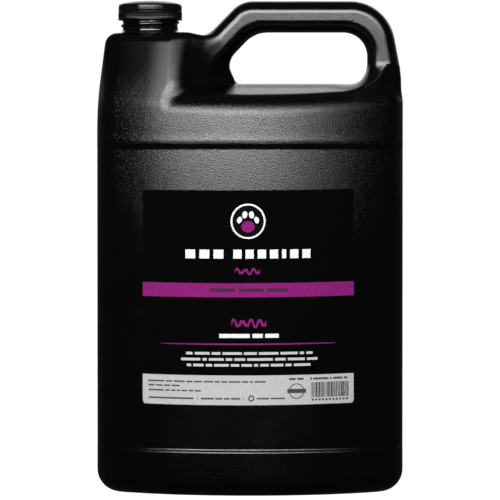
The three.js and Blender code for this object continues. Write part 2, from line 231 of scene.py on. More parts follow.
def outline_distance(pieces, x, z):
    """Signed distance to such an outline, positive outside."""
    best = np.full(np.shape(x), 1e9)
    for piece in pieces:
        if piece[0] == "arc":
            _, centre, radius, facing, half = piece
            dx, dz = x - centre[0], z - centre[1]
            reach = np.hypot(dx, dz)
            signed = reach - radius
            valid = dx * facing[0] + dz * facing[1] >= reach * math.cos(half) - 1e-6
        else:
            _, start, along, normal, length = piece
            dx, dz = x - start[0], z - start[1]
            signed = dx * normal[0] + dz * normal[1]
            travel = dx * along[0] + dz * along[1]
            valid = (travel >= -1e-6) & (travel <= length + 1e-6)
        closer = valid & (np.abs(signed) < np.abs(best))
        best = np.where(closer, signed, best)
    return best


HANDLE_OUTLINE = rounded_outline(HANDLE_CORNERS)
HOLE_OUTLINE = rounded_outline(HOLE_CORNERS)
TUBE_HOLE_OUTLINE = rounded_outline(TUBE_HOLE_CORNERS)


def panel_sink(z):
    """How far the label panels are sunk at a height, with a soft lip above them."""
    centre, width, rise = LIP
    lip = rise * np.exp(-(((z - centre) / width) ** 2))
    return PANEL_SINK * (smoothstep(z, *LOWER_STEP) - smoothstep(z, *UPPER_STEP)) - lip


def lean_in(x, z):
    """How far the big panels lean in towards the shoulder, less so under the column."""
    start, rate = LEAN_IN
    share = 1.0 - LEAN_IN_UNDER_COLUMN * smoothstep(-x, *UNDER_COLUMN)
    return rate * np.maximum(z - start, 0.0) ** 2 * share


def base_distance(x, y, z):
    """Distance below the base, which has a push-up panel inside its standing ring."""
    half_x, half_y, corner, height = PUSH_UP
    qx = np.abs(x) - half_x + corner
    qy = np.abs(y) - half_y + corner
    outside = np.hypot(np.maximum(qx, 0.0), np.maximum(qy, 0.0)) + np.minimum(np.maximum(qx, qy), 0.0)
    return height * smoothstep(corner - outside, 0.0, PUSH_UP_SLOPE) - z


def lean_back(z):
    """How far the front of the column has leaned back at a height."""
    rise = ramp(z - CREASE, CREASE_BLEND)
    return LEAN_BACK[0] * rise + LEAN_BACK[1] * rise**2


def shell_field(x, y, z):
    """The body with its sloping roof and, at the left, the column that carries the neck."""
    back = lean_back(z)
    lean = LEFT_LEAN * ramp(z - CREASE, LEFT_BLEND) * smoothstep(-x, *LEFT_LEAN_SPAN)
    shift = back * smoothstep(-x, *BACK_LEAN_SPAN) + lean_in(x, z)
    shift = shift * np.abs(y) / np.hypot(y, SIDE_KEPT)
    plan = plan_distance(x - lean, np.abs(y) + panel_sink(z) + shift)
    from_ridge = np.sqrt(y * y + ROOF_RIDGE_ROUNDING**2) - ROOF_RIDGE_ROUNDING
    roof = (z - RIDGE + ROOF_SLOPE * from_ridge) / math.hypot(1.0, ROOF_SLOPE)
    run, fall = EDGE[0] - WEB[0], EDGE[1] - WEB[1]
    inner = WEB[1] + WEB_SPREAD[0] * np.maximum(z - WEB_SPREAD[1], 0.0)
    room = EDGE[1] - back - lean_in(x, z) - inner
    swung = WEB[1] + (np.abs(y) - inner) * fall / np.maximum(room, WEB_LEAST_ROOM)
    web = ((x - WEB[0]) * fall - (swung - WEB[1]) * run) / math.hypot(run, fall)
    shoulder = SHOULDER - SHOULDER_FALL * smoothstep(x, *SHOULDER_FALL_SPAN)
    column = round_max(web, z - shoulder, SHOULDER_ROUNDING)
    column = round_max(column, -outline_distance(HOLE_OUTLINE, x, z), HOLE_EDGE_ROUNDING)
    top = smooth_min(roof, column, COLUMN_FILLET)
    high = smoothstep(z, *ROLL_SPAN)
    rolled = round_max(plan, top, SHELF_ROLL + (COLUMN_EDGE_ROUNDING - SHELF_ROLL) * high)
    heel = FRONT_HEEL + (SIDE_HEEL - FRONT_HEEL) * smoothstep(np.abs(x), *HEEL_SPAN)
    return round_max(rolled, base_distance(x, y, z), heel)


def handle_field(x, y, z):
    """The handle's bar. Its right foot flares towards the body and stays inside the plan."""
    outer = outline_distance(HANDLE_OUTLINE, x, z)
    tube = np.maximum(outer, -outline_distance(TUBE_HOLE_OUTLINE, x, z))
    slope, middle = HANDLE_FACE_SLOPE
    deep = np.abs(y) - HANDLE_HALF_DEPTH - slope * (z - middle)
    foot, flare, reach = HANDLE_FOOT
    deep = deep - flare * np.clip(foot - z, 0.0, reach) ** 2 * smoothstep(x, *HANDLE_FOOT_SPAN)
    bar = round_max(tube, deep * (HANDLE_ROUND_IN / HANDLE_ROUND_DEEP), HANDLE_ROUND_IN)
    least, more = FOOT_INSET
    above = smoothstep(z, foot - FOOT_INSET_FADE, foot + FOOT_INSET_FADE)
    inset = least + more * smoothstep(np.abs(y), *FOOT_INSET_SPAN) - FOOT_INSET_OFF * above
    inside = plan_distance(x, np.abs(y) + lean_in(x, z)) + inset
    return round_max(bar, inside, FOOT_EDGE_ROUNDING)


def jug_field(x, y, z):
    widest, less = HANDLE_FILLET
    fillet = widest - less * smoothstep(x, *HANDLE_FILLET_SPAN)
    return smooth_min(shell_field(x, y, z), handle_field(x, y, z), fillet)


def cavity_field(x, y, z):
    return jug_field(x, y, z) + WALL


# ------------------------------------------------------------------ meshes from fields


NEWTON_STEPS = 4
NEWTON_REACH = 0.6


def spaced(*stretches):
    """Grid lines from stretches (start, end, largest step)."""
    lines = [np.array([stretches[0][0]])]
    for start, end, step in stretches:
        lines.append(np.linspace(start, end, max(1, math.ceil((end - start) / step)) + 1)[1:])
    return np.concatenate(lines)


CELL_EDGES = [
    (a, b)
    for a in np.ndindex(2, 2, 2)
    for b in np.ndindex(2, 2, 2)
    if sum(abs(p - q) for p, q in zip(a, b)) == 1 and a < b
]


def net_vertices(values, lines, cells):
    """One vertex in each cell that the surface crosses, amid its edge crossings."""
    total = np.zeros((len(cells), 3))
    hits = np.zeros(len(cells))
    for a, b in CELL_EDGES:
        at_a, at_b = cells + a, cells + b
        va, vb = values[tuple(at_a.T)], values[tuple(at_b.T)]
        crossed = (va < 0) != (vb < 0)
        share = np.where(crossed, va / np.where(crossed, va - vb, 1.0), 0.0)
        pa = np.stack([lines[k][at_a[:, k]] for k in range(3)], 1)
        pb = np.stack([lines[k][at_b[:, k]] for k in range(3)], 1)
        total += np.where(crossed[:, None], pa + (pb - pa) * share[:, None], 0.0)
        hits += crossed
    return total / hits[:, None]


def net_faces(inside, index):
    """A quad across every grid edge that the surface crosses."""
    faces = []
    for axis in range(3):
        u, v = (axis + 1) % 3, (axis + 2) % 3
        near, far = [slice(1, -1)] * 3, [slice(1, -1)] * 3
        near[axis], far[axis] = slice(0, -1), slice(1, None)
        first, second = inside[tuple(near)], inside[tuple(far)]
        at = np.argwhere(first != second)
        leaving = first[tuple(at.T)]
        at[:, u] += 1
        at[:, v] += 1
        corners = []
        for du, dv in ((-1, -1), (0, -1), (0, 0), (-1, 0)):
            cell = at.copy()
            cell[:, u] += du
            cell[:, v] += dv
            corners.append(index[tuple(cell.T)])
        quads = np.stack(corners, 1)
        quads[~leaving] = quads[~leaving][:, ::-1]
        faces.append(quads)
    return np.concatenate(faces)


def gradient(field, points, step=0.03):
    x, y, z = points.T
    return np.stack(
        [
            field(x + step, y, z) - field(x - step, y, z),
            field(x, y + step, z) - field(x, y - step, z),
            field(x, y, z + step) - field(x, y, z - step),
        ],
        1,
    ) / (2 * step)


def surface_net(field, xs, ys, zs):
    """Vertices on the field's surface, quads and outward normals."""
    values = field(*np.meshgrid(xs, ys, zs, indexing="ij", sparse=False))
    inside = values < 0
    count = np.zeros(tuple(n - 1 for n in inside.shape), int)
    for a in np.ndindex(2, 2, 2):
        count += inside[tuple(slice(o, o + n) for o, n in zip(a, count.shape))]
    active = (count > 0) & (count < 8)
    index = np.full(active.shape, -1)
    index[active] = np.arange(active.sum())
    points = net_vertices(values, (xs, ys, zs), np.argwhere(active))
    for _ in range(NEWTON_STEPS):
        slope = gradient(field, points)
        steepness = np.maximum((slope**2).sum(1), 0.05)
        move = field(*points.T)[:, None] * slope / steepness[:, None]
        points = points - np.clip(move, -NEWTON_REACH, NEWTON_REACH)
    slope = gradient(field, points)
    normals = slope / np.linalg.norm(slope, axis=1)[:, None]
    return points, net_faces(inside, index), normals


def without(points, faces, normals, unwanted):
    """The mesh less the faces whose middle is unwanted, and the vertices only they used."""
    middles = points[faces].mean(1)
    faces = faces[~unwanted(middles)]
    used, packed = np.unique(faces, return_inverse=True)
    return points[used], packed.reshape(faces.shape), normals[used]


def rim_loop(faces):
    """The vertices round the one hole of a mesh, in order."""
    pairs = {}
    edges = np.concatenate([faces[:, [i, (i + 1) % 4]] for i in range(4)])
    known = set(map(tuple, edges.tolist()))
    for a, b in known:
        if (b, a) not in known:
            pairs[b] = a
    start = next(iter(pairs))
    loop = [start]
    while pairs[loop[-1]] != start:
        loop.append(pairs[loop[-1]])
    return np.array(loop)


def join_rims(outer, outer_points, inner, inner_points):
    """Triangles between two loops round the neck's axis, walked by angle."""

    def swing(points):
        return np.unwrap(np.arctan2(points[:, 1], points[:, 0] - NECK_X))

    if swing(outer_points)[-1] < swing(outer_points)[0]:
        outer, outer_points = outer[::-1], outer_points[::-1]
    if swing(inner_points)[-1] < swing(inner_points)[0]:
        inner, inner_points = inner[::-1], inner_points[::-1]
    near = int(np.argmin(np.hypot(*(inner_points[:, :2] - outer_points[0, :2]).T)))
    inner = np.roll(inner, -near)
    triangles, i, j = [], 0, 0
    while i < len(outer) or j < len(inner):
        if j >= len(inner) or (i < len(outer) and i * len(inner) <= j * len(outer)):
            triangles.append((outer[i % len(outer)], outer[(i + 1) % len(outer)], inner[j % len(inner)]))
            i += 1
        else:
            triangles.append((outer[i % len(outer)], inner[(j + 1) % len(inner)], inner[j % len(inner)]))
            j += 1
    return triangles


# ------------------------------------------------------------------ meshes from rows of points


def grid_faces(rows, columns, wrap_rows=False):
    """Quads of a grid whose columns wrap round."""
    r = np.arange(rows if wrap_rows else rows - 1)
    c = np.arange(columns)
    r, c = np.meshgrid(r, c, indexing="ij")
    r1, c1 = (r + 1) % rows, (c + 1) % columns
    quads = [r * columns + c, r * columns + c1, r1 * columns + c1, r1 * columns + c]
    return np.stack([q.ravel() for q in quads], 1)


def turned(radii, heights):
    """Points of a turned grid about the neck's axis: rows by columns of radius and height."""
    radii, heights = np.broadcast_arrays(radii, heights)
    angles = np.arange(radii.shape[1]) * TURN / radii.shape[1]
    x = NECK_X + radii * np.cos(angles)
    y = radii * np.sin(angles)
    return np.stack([x, y, heights], 2).reshape(-1, 3)


def average_normals(points, faces):
    first, second, third = points[faces[:, 0]], points[faces[:, 1]], points[faces[:, 2]]
    fourth = points[faces[:, -1]]
    across = np.cross(third - first, fourth - second)
    normals = np.zeros_like(points)
    for column in range(faces.shape[1]):
        np.add.at(normals, faces[:, column], across)
    return normals / np.maximum(np.linalg.norm(normals, axis=1), 1e-12)[:, None]


def signed_volume(points, faces):
    first = points[faces[:, 0]]
    volume = 0.0
    for i in range(1, faces.shape[1] - 1):
        volume += np.einsum("ij,ij->", first, np.cross(points[faces[:, i]], points[faces[:, i + 1]]))
    return volume / 6


def helix_share(radii_shape, heights, start, turns, half):
    """How much thread stands at each point of a turned grid, from 0 to 1."""
    columns = radii_shape[1]
    turn = np.arange(columns) / columns
    share = np.zeros(radii_shape)
    for lap in range(math.ceil(turns) + 1):
        along = turn + lap
        fade = smoothstep(along, 0.0, 0.06) * (1 - smoothstep(along, turns - 0.06, turns))
        off = np.abs(heights - (start + along * THREAD_PITCH))
        share = np.maximum(share, fade * (1 - smoothstep(off, half * 0.35, half)))
    return share


def profile_rows(*stretches):
    """Rows [radius, height] from stretches (radius, height, steps): straight, evenly split."""
    rows = [stretches[0][:2]]
    for radius, height, steps in stretches[1:]:
        start = rows[-1]
        for step in range(1, steps + 1):
            share = step / steps
            rows.append(
                (start[0] + (radius - start[0]) * share, start[1] + (height - start[1]) * share)
            )
    return np.array(rows)


# ------------------------------------------------------------------ objects


def make_object(name, points, faces, materials, body, nodes=(), normals=None, slots=None):
    """A smooth mesh object riding on a body. points are in millimetres."""
    mesh = bpy.data.meshes.new(name)
    mesh.from_pydata((np.asarray(points) * MM).tolist(), [], [tuple(f) for f in faces])
    for material in materials:
        mesh.materials.append(material)
    if slots is not None:
        mesh.polygons.foreach_set("material_index", slots)
    mesh.shade_smooth()
    if normals is not None:
        mesh.normals_split_custom_set_from_vertices(np.asarray(normals).tolist())
    mesh.update()
    made = bpy.data.objects.new(name, mesh)
    bpy.context.scene.collection.objects.link(made)
    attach(made, body)
    if nodes:
        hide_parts(*nodes)
    return made


def neck_mesh():
    """The neck finish, from its bore over the rim and the thread to a flare on the shoulder."""
    rows = profile_rows(
        (NECK_BORE, 286.6),
        (NECK_BORE, NECK_TOP - 0.5, 8),
        (NECK_BORE + 0.15, NECK_TOP - 0.15, 1),
        (NECK_BORE + 0.5, NECK_TOP, 1),
        (NECK_ROOT - 0.5, NECK_TOP, 2),
        (NECK_ROOT - 0.15, NECK_TOP - 0.15, 1),
        (NECK_ROOT, NECK_TOP - 0.5, 1),
        (NECK_ROOT, 289.6, 40),
        (NECK_ROOT + 0.2, 288.9, 2),
        (NECK_ROOT + 0.7, 288.2, 2),
        (NECK_ROOT + 1.3, 287.8, 2),
        (NECK_ROOT - 0.2, 285.5, 1),
    )
    columns = 144
    radii = np.repeat(rows[:, :1], columns, 1)
    heights = np.repeat(rows[:, 1:], columns, 1)
    outside = (radii > NECK_ROOT - 0.01) & (heights > 289.5) & (heights < NECK_TOP - 0.4)
    share = helix_share(radii.shape, heights, NECK_THREAD_START, NECK_THREAD_TURNS, THREAD_HALF)
    points = turned(radii + THREAD_OUT * share * outside, heights)
    faces = grid_faces(len(rows), columns, wrap_rows=True)
    if signed_volume(points, faces) < 0:
        faces = faces[:, ::-1]
    return points, faces, average_normals(points, faces)


def jug_mesh():
    """The shell: an outer and an inner skin, joined round the hole under the neck, and the neck."""
    xs = spaced((-97.6, 97.6, 1.55))
    ys = spaced((-54.6, 54.6, 1.5))
    zs = spaced(
        (-1.6, 16, 1.4),
        (16, 25.5, 2.4),
        (25.5, 30.7, 0.45),
        (30.7, 213.5, 3.2),
        (213.5, 219.7, 0.5),
        (219.7, 238, 2.4),
        (238, 309.4, 1.3),
    )
    outer, outer_faces, outer_normals = surface_net(jug_field, xs, ys, zs)
    coarse = (spaced((-97, 97, 3.6)), spaced((-54, 54, 3.6)), spaced((-1.3, 309, 3.6)))
    inner, inner_faces, inner_normals = surface_net(cavity_field, *coarse)

    def under_neck(middles):
        near = np.hypot(middles[:, 0] - NECK_X, middles[:, 1]) < NECK_HOLE
        return near & (middles[:, 2] > SHOULDER - 5)

    outer, outer_faces, outer_normals = without(outer, outer_faces, outer_normals, under_neck)
    inner, inner_faces, inner_normals = without(inner, inner_faces, inner_normals, under_neck)
    outer_rim, inner_rim = rim_loop(outer_faces), rim_loop(inner_faces)
    bridge = join_rims(outer_rim, outer[outer_rim], inner_rim + len(outer), inner[inner_rim])
    neck, neck_faces, neck_normals = neck_mesh()
    points = np.concatenate([outer, inner, neck])
    normals = np.concatenate([outer_normals, -inner_normals, neck_normals])
    shift = len(outer)
    faces = (
        outer_faces.tolist()
        + (inner_faces[:, ::-1] + shift).tolist()
        + [list(t) for t in bridge]
        + (neck_faces + shift + len(inner)).tolist()
    )
    slots = [0] * (len(faces) - len(neck_faces)) + [1] * len(neck_faces)
    return points, faces, normals, slots


def cap_mesh():
    """The ribbed cap, from its crowned top down the skirt and up its threaded bore."""
    columns = CAP_RIBS * 6
    rows = profile_rows(
        (2.0, CAP_TOP + CAP_CROWN),
        (10.0, CAP_TOP + CAP_CROWN * 0.8, 3),
        (15.5, CAP_TOP + CAP_CROWN * 0.4, 2),
        (18.2, CAP_TOP, 2),
        (19.0, CAP_TOP - 0.25, 2),
        (19.5, CAP_TOP - 0.7, 2),
        (19.7, CAP_TOP - 1.2, 2),
        (CAP_BAND_RADIUS, CAP_TOP - 1.8, 1),
        (CAP_BAND_RADIUS + 0.05, CAP_BAND + 0.35, 3),
        (CAP_BAND_RADIUS - 0.12, CAP_BAND + 0.22, 1),
        (CAP_BAND_RADIUS - 0.12, CAP_BAND + 0.08, 1),
        (CAP_RADIUS - 0.2, CAP_BAND, 1),
        (CAP_RADIUS, CAP_BAND - 0.2, 1),
        (CAP_RADIUS, CAP_BAND - 0.45, 1),
        (CAP_RADIUS, CAP_BOTTOM + 1.3, 4),
        (CAP_RADIUS, CAP_BOTTOM + 1.0, 1),
        (CAP_RADIUS + 0.05, CAP_BOTTOM + 0.8, 1),
        (CAP_RADIUS + 0.05, CAP_BOTTOM + 0.25, 1),
        (CAP_RADIUS - 0.2, CAP_BOTTOM, 1),
        (CAP_BORE + 0.4, CAP_BOTTOM, 1),
        (CAP_BORE, CAP_BOTTOM + 0.4, 1),
        (CAP_BORE, CAP_UNDERSIDE - 0.4, 34),
        (CAP_BORE - 0.4, CAP_UNDERSIDE, 1),
        (2.0, CAP_UNDERSIDE, 4),
    )
    radii = np.repeat(rows[:, :1], columns, 1)
    heights = np.repeat(rows[:, 1:], columns, 1)
    wave = 0.5 - 0.5 * np.cos(np.arange(columns) / columns * CAP_RIBS * TURN)
    on_ribs = smoothstep(heights, CAP_BOTTOM + 0.9, CAP_BOTTOM + 1.3)
    on_ribs = on_ribs * (1 - smoothstep(heights, CAP_BAND - 0.45, CAP_BAND - 0.15))
    on_ribs = on_ribs * (radii > CAP_RADIUS - 0.3)
    radii = radii - CAP_RIB_DEPTH * wave**1.5 * on_ribs
    in_bore = (np.abs(radii - CAP_BORE) < 0.01) & (heights < CAP_UNDERSIDE - 0.3)
    share = helix_share(radii.shape, heights, CAP_THREAD_START, 1.0, THREAD_HALF)
    points = turned(radii - 1.0 * share * in_bore, heights)
    faces = grid_faces(len(rows), columns)[:, ::-1]
    top = len(points)
    points = np.concatenate(
        [points, [[NECK_X, 0, CAP_TOP + CAP_CROWN], [NECK_X, 0, CAP_UNDERSIDE]]]
    )
    last = (len(rows) - 1) * columns
    fans = []
    for j in range(columns):
        k = (j + 1) % columns
        fans.append((top, j, k))
        fans.append((top + 1, last + k, last + j))
    return points, faces, fans


def liner_mesh():
    rows = profile_rows(
        (1.5, LINER_TOP),
        (LINER_RADIUS - 0.25, LINER_TOP, 6),
        (LINER_RADIUS, LINER_TOP - 0.2, 1),
        (LINER_RADIUS, LINER_BOTTOM + 0.2, 2),
        (LINER_RADIUS - 0.25, LINER_BOTTOM, 1),
        (1.5, LINER_BOTTOM, 6),
    )
    columns = 96
    points = turned(np.repeat(rows[:, :1], columns, 1), np.repeat(rows[:, 1:], columns, 1))
    points = np.concatenate([points, [[NECK_X, 0, LINER_TOP], [NECK_X, 0, LINER_BOTTOM]]])
    faces = grid_faces(len(rows), columns).tolist()
    top, last = len(points) - 2, (len(rows) - 1) * columns
    fans = []
    for j in range(columns):
        k = (j + 1) % columns
        fans.append((top, k, j))
        fans.append((top + 1, last + j, last + k))
    return points, faces + fans


# ------------------------------------------------------------------ label


def film_point(x, z, lift):
    """A point on the label, lifted off the sunk panel. The film sags a little in the middle."""
    height = z + LABEL_SAG * (x / 58.0) ** 2 + LABEL_TILT * x
    depth = BOW_CENTRE + np.sqrt(BOW_RADIUS**2 - x**2) - PANEL_SINK - lean_in(x, height) + lift
    return np.stack(np.broadcast_arrays(x, -depth, height), -1)


def film_patch(xs, low, high, inner, outer, rows):
    """A closed thin patch between two edges, given at the columns xs."""
    share = np.linspace(0.0, 1.0, rows + 1)[:, None]
    heights = low + (high - low) * share
    wide = np.broadcast_to(xs, heights.shape)
    front, back = film_point(wide, heights, outer), film_point(wide, heights, inner)
    points = np.concatenate([front.reshape(-1, 3), back.reshape(-1, 3)])
    count_x, count_z = len(xs), rows + 1
    r, c = np.meshgrid(np.arange(rows), np.arange(count_x - 1), indexing="ij")
    base = r * count_x + c
    quads = np.stack([base, base + 1, base + count_x + 1, base + count_x], -1).reshape(-1, 4)
    behind = quads[:, ::-1] + count_x * count_z
    edge = list(range(count_x))
    edge += [(i + 1) * count_x - 1 for i in range(1, count_z)]
    edge += [(count_z - 1) * count_x + i for i in range(count_x - 2, -1, -1)]
    edge += [i * count_x for i in range(count_z - 2, 0, -1)]
    edge = np.array(edge)
    after = np.roll(edge, -1)
    shift = count_x * count_z
    sides = np.stack([edge, edge + shift, after + shift, after], 1)
    return points, np.concatenate([quads, behind, sides])


def film_normals(points):
    """Outward normals of the label for points on or near it."""
    x, z = points[:, 0], points[:, 2]
    step = 0.2
    across = (lean_in(x + step, z) - lean_in(x - step, z)) / (2 * step) + x / np.sqrt(BOW_RADIUS**2 - x**2)
    up = (lean_in(x, z + step) - lean_in(x, z - step)) / (2 * step)
    normals = np.stack([across, -np.ones_like(x), up], 1)
    return normals / np.linalg.norm(normals, axis=1)[:, None]


class Print:
    """Collects printed patches that lie on the label as one mesh."""

    def __init__(self):
        self.points, self.faces, self.slots, self.count = [], [], [], 0

    def add(self, xs, low, high, slot, layer=1):
        xs = np.asarray(xs, float)
        low, high = np.broadcast_to(low, xs.shape), np.broadcast_to(high, xs.shape)
        lift = 0.17 + 0.03 * layer
        points, faces = film_patch(xs, low, high, lift - 0.05, lift, 1)
        self.points.append(points)
        self.faces.append(faces + self.count)
        self.slots += [slot] * len(faces)
        self.count += len(points)

    def bar(self, left, right, bottom, top, slot, layer=1):
        columns = max(2, math.ceil((right - left) / 2.5) + 1)
        self.add(np.linspace(left, right, columns), bottom, top, slot, layer)

    def oval(self, x, z, half_x, half_z, slot, layer=1, tilt=0.0):
        angles = np.linspace(math.pi, 0.0, 25)
        xs = np.cos(angles) * half_x
        reach = half_z * np.sqrt(np.maximum(1 - (xs / half_x) ** 2, 1e-4))
        self.add(x + xs, z - reach + tilt * xs, z + reach + tilt * xs, slot, layer)

    def words(self, left, right, bottom, top, widths, gap, slot, layer=1):
        """Bars in place of words: relative widths that fill a line."""
        room = right - left - gap * (len(widths) - 1)
        at = left
        for width in widths:
            end = at + room * width / sum(widths)
            self.bar(at, end, bottom, top, slot, layer)
            at = end + gap

    def scribble(self, left, right, z, height, waves, thick, slot):
        """A wavy stroke in place of a handwritten word."""
        xs = np.linspace(left, right, 16 * waves + 1)
        share = (xs - left) / (right - left)
        swell = 0.7 + 0.3 * np.cos(share * TURN * 1.5)
        line = z + height / 2 * np.sin(share * waves * TURN) * swell
        slope = np.abs(np.cos(share * waves * TURN)) * height * waves * math.pi / (right - left)
        reach = thick / 2 * np.sqrt(1 + slope**2)
        self.add(xs, line - reach, line + reach, slot)


WHITE, MAGENTA, GREY, DARK, PALE, SHADE, SLATE = range(7)


def label_print():
    art = Print()
    left, right, bottom, top = LABEL
    # Emblem: a paw in a ring.
    art.oval(-1.2, 170.4, 10.8, 10.9, WHITE)
    art.oval(-1.2, 170.4, 9.7, 9.8, SHADE, 2)
    art.oval(-1.2, 167.0, 4.1, 3.5, MAGENTA, 3)
    for x, z, half_x, half_z, tilt in (
        (-6.5, 171.2, 1.5, 2.0, 0.3),
        (-3.2, 174.4, 1.55, 2.2, 0.1),
        (0.9, 174.4, 1.55, 2.2, -0.1),
        (4.1, 171.2, 1.5, 2.0, -0.3),
    ):
        art.oval(x, z, half_x, half_z, WHITE, 3, tilt)
    # Title, scribble and band.
    art.words(-40.0, -16.4, 147.4, 152.9, (1, 1, 1), 2.6, WHITE)
    art.words(-10.3, 37.4, 147.4, 152.9, (1, 1, 1, 1, 0.5, 1, 1), 2.4, WHITE)
    art.scribble(-9.2, 6.0, 139.4, 3.6, 3, 1.1, MAGENTA)
    art.bar(left, right, 123.5, 132.2, MAGENTA)
    art.words(-24.9, 23.4, 126.8, 129.0, (5, 5, 4), 2.0, DARK, 2)
    # Name of the contents, tapering rule and three lines.
    art.scribble(-11.4, 10.0, 107.4, 4.6, 4, 1.3, MAGENTA)
    art.words(-19.0, 17.8, 98.4, 100.9, (9, 3, 4), 1.6, WHITE)
    xs = np.linspace(-55.0, 53.0, 73)
    taper = 0.1 + 0.4 * np.sqrt(np.maximum(1 - ((xs + 1.0) / 54.5) ** 2, 0))
    art.add(xs, 94.5 - taper, 94.5 + taper, MAGENTA)
    art.words(-39.5, 38.7, 88.0, 89.6, (3, 7, 4, 9, 6, 9, 8, 2, 3), 1.3, PALE)
    art.words(-42.6, 41.8, 84.3, 85.9, (9, 2, 7, 3, 5, 12, 5, 8, 5), 1.3, PALE)
    art.words(-39.0, 37.4, 80.7, 82.3, (2, 5, 3, 7, 4, 5, 2, 4, 6, 3, 8), 1.3, PALE)
    lower_panel(art, left, right, bottom)
    return art


def lower_panel(art, left, right, bottom):
    """The pale panel at the foot, with small lines, a badge and a bar pattern."""
    near = np.array([0.02, 0.3, 0.7, 1.2, 2.0])
    xs = np.concatenate([left + near, np.linspace(left + 4, right - 4, 52), right - near[::-1]])
    inset = np.minimum(xs - left, right - xs)
    cut = np.maximum(LABEL_CORNER - inset, 0)
    foot = bottom + LABEL_CORNER - np.sqrt(np.maximum(LABEL_CORNER**2 - cut**2, 0))
    art.add(xs, foot + 0.02, 75.2, GREY)
    art.words(-63.1, 9.8, 70.8, 71.7, (10, 4, 7, 4, 5, 6, 3, 4, 7, 4, 2, 7), 0.9, SLATE, 2)
    art.words(-63.1, -43.5, 68.1, 69.0, (4, 4, 4, 5), 0.9, SLATE, 2)
    art.words(-62.8, -30.4, 65.1, 66.0, (10, 3, 3, 2, 4, 3, 4), 0.9, SLATE, 2)
    art.words(-62.8, -34.8, 60.3, 61.3, (1,), 0.9, SLATE, 2)
    art.bar(-32.7, -32.4, 59.9, 61.8, SLATE, 2)
    art.words(-30.4, -6.0, 60.3, 61.3, (7, 4, 3, 5), 0.9, SLATE, 2)
    art.bar(-4.2, -3.9, 59.9, 61.8, SLATE, 2)
    art.oval(0.8, 61.0, 1.9, 1.9, SLATE, 2)
    art.oval(0.8, 61.0, 1.1, 1.1, GREY, 3)
    art.words(4.2, 21.5, 60.4, 61.3, (6, 7), 0.9, SLATE, 2)
    art.words(24.2, 33.2, 72.1, 73.3, (3, 3), 0.9, SLATE, 2)
    art.words(37.2, 60.5, 72.1, 73.3, (1, 8, 1, 5, 2), 0.8, SLATE, 2)
    art.oval(28.8, 65.2, 4.7, 4.8, SLATE, 2)
    art.oval(28.8, 65.2, 4.1, 4.2, GREY, 3)
    art.bar(23.1, 34.6, 64.0, 66.6, SLATE, 4)
    widths = np.random.default_rng(11).choice([0.25, 0.45, 0.7], 34, p=[0.5, 0.3, 0.2])
    spaces = np.random.default_rng(12).choice([0.25, 0.45], 34)
    scale = 23.6 / (widths.sum() + spaces.sum())
    at = 37.7
    for width, space in zip(widths * scale, spaces * scale):
        art.bar(at, at + width, 61.2, 70.4, SHADE, 2)
        at += width + space
    art.words(38.2, 60.8, 59.0, 60.3, (1,) * 11, 0.9, SLATE, 2)


def label_film():
    left, right, bottom, top = LABEL
    near = np.array([0.0, 0.1, 0.3, 0.6, 1.0, 1.5, 2.0])
    xs = np.concatenate([left + near, np.linspace(left + 4, right - 4, 62), right - near[::-1]])
    cut = np.maximum(LABEL_CORNER - np.minimum(xs - left, right - xs), 0)
    trim = LABEL_CORNER - np.sqrt(np.maximum(LABEL_CORNER**2 - cut**2, 0))
    return film_patch(xs, bottom + trim, top - trim, -0.05, 0.17, 40)


# ------------------------------------------------------------------ materials


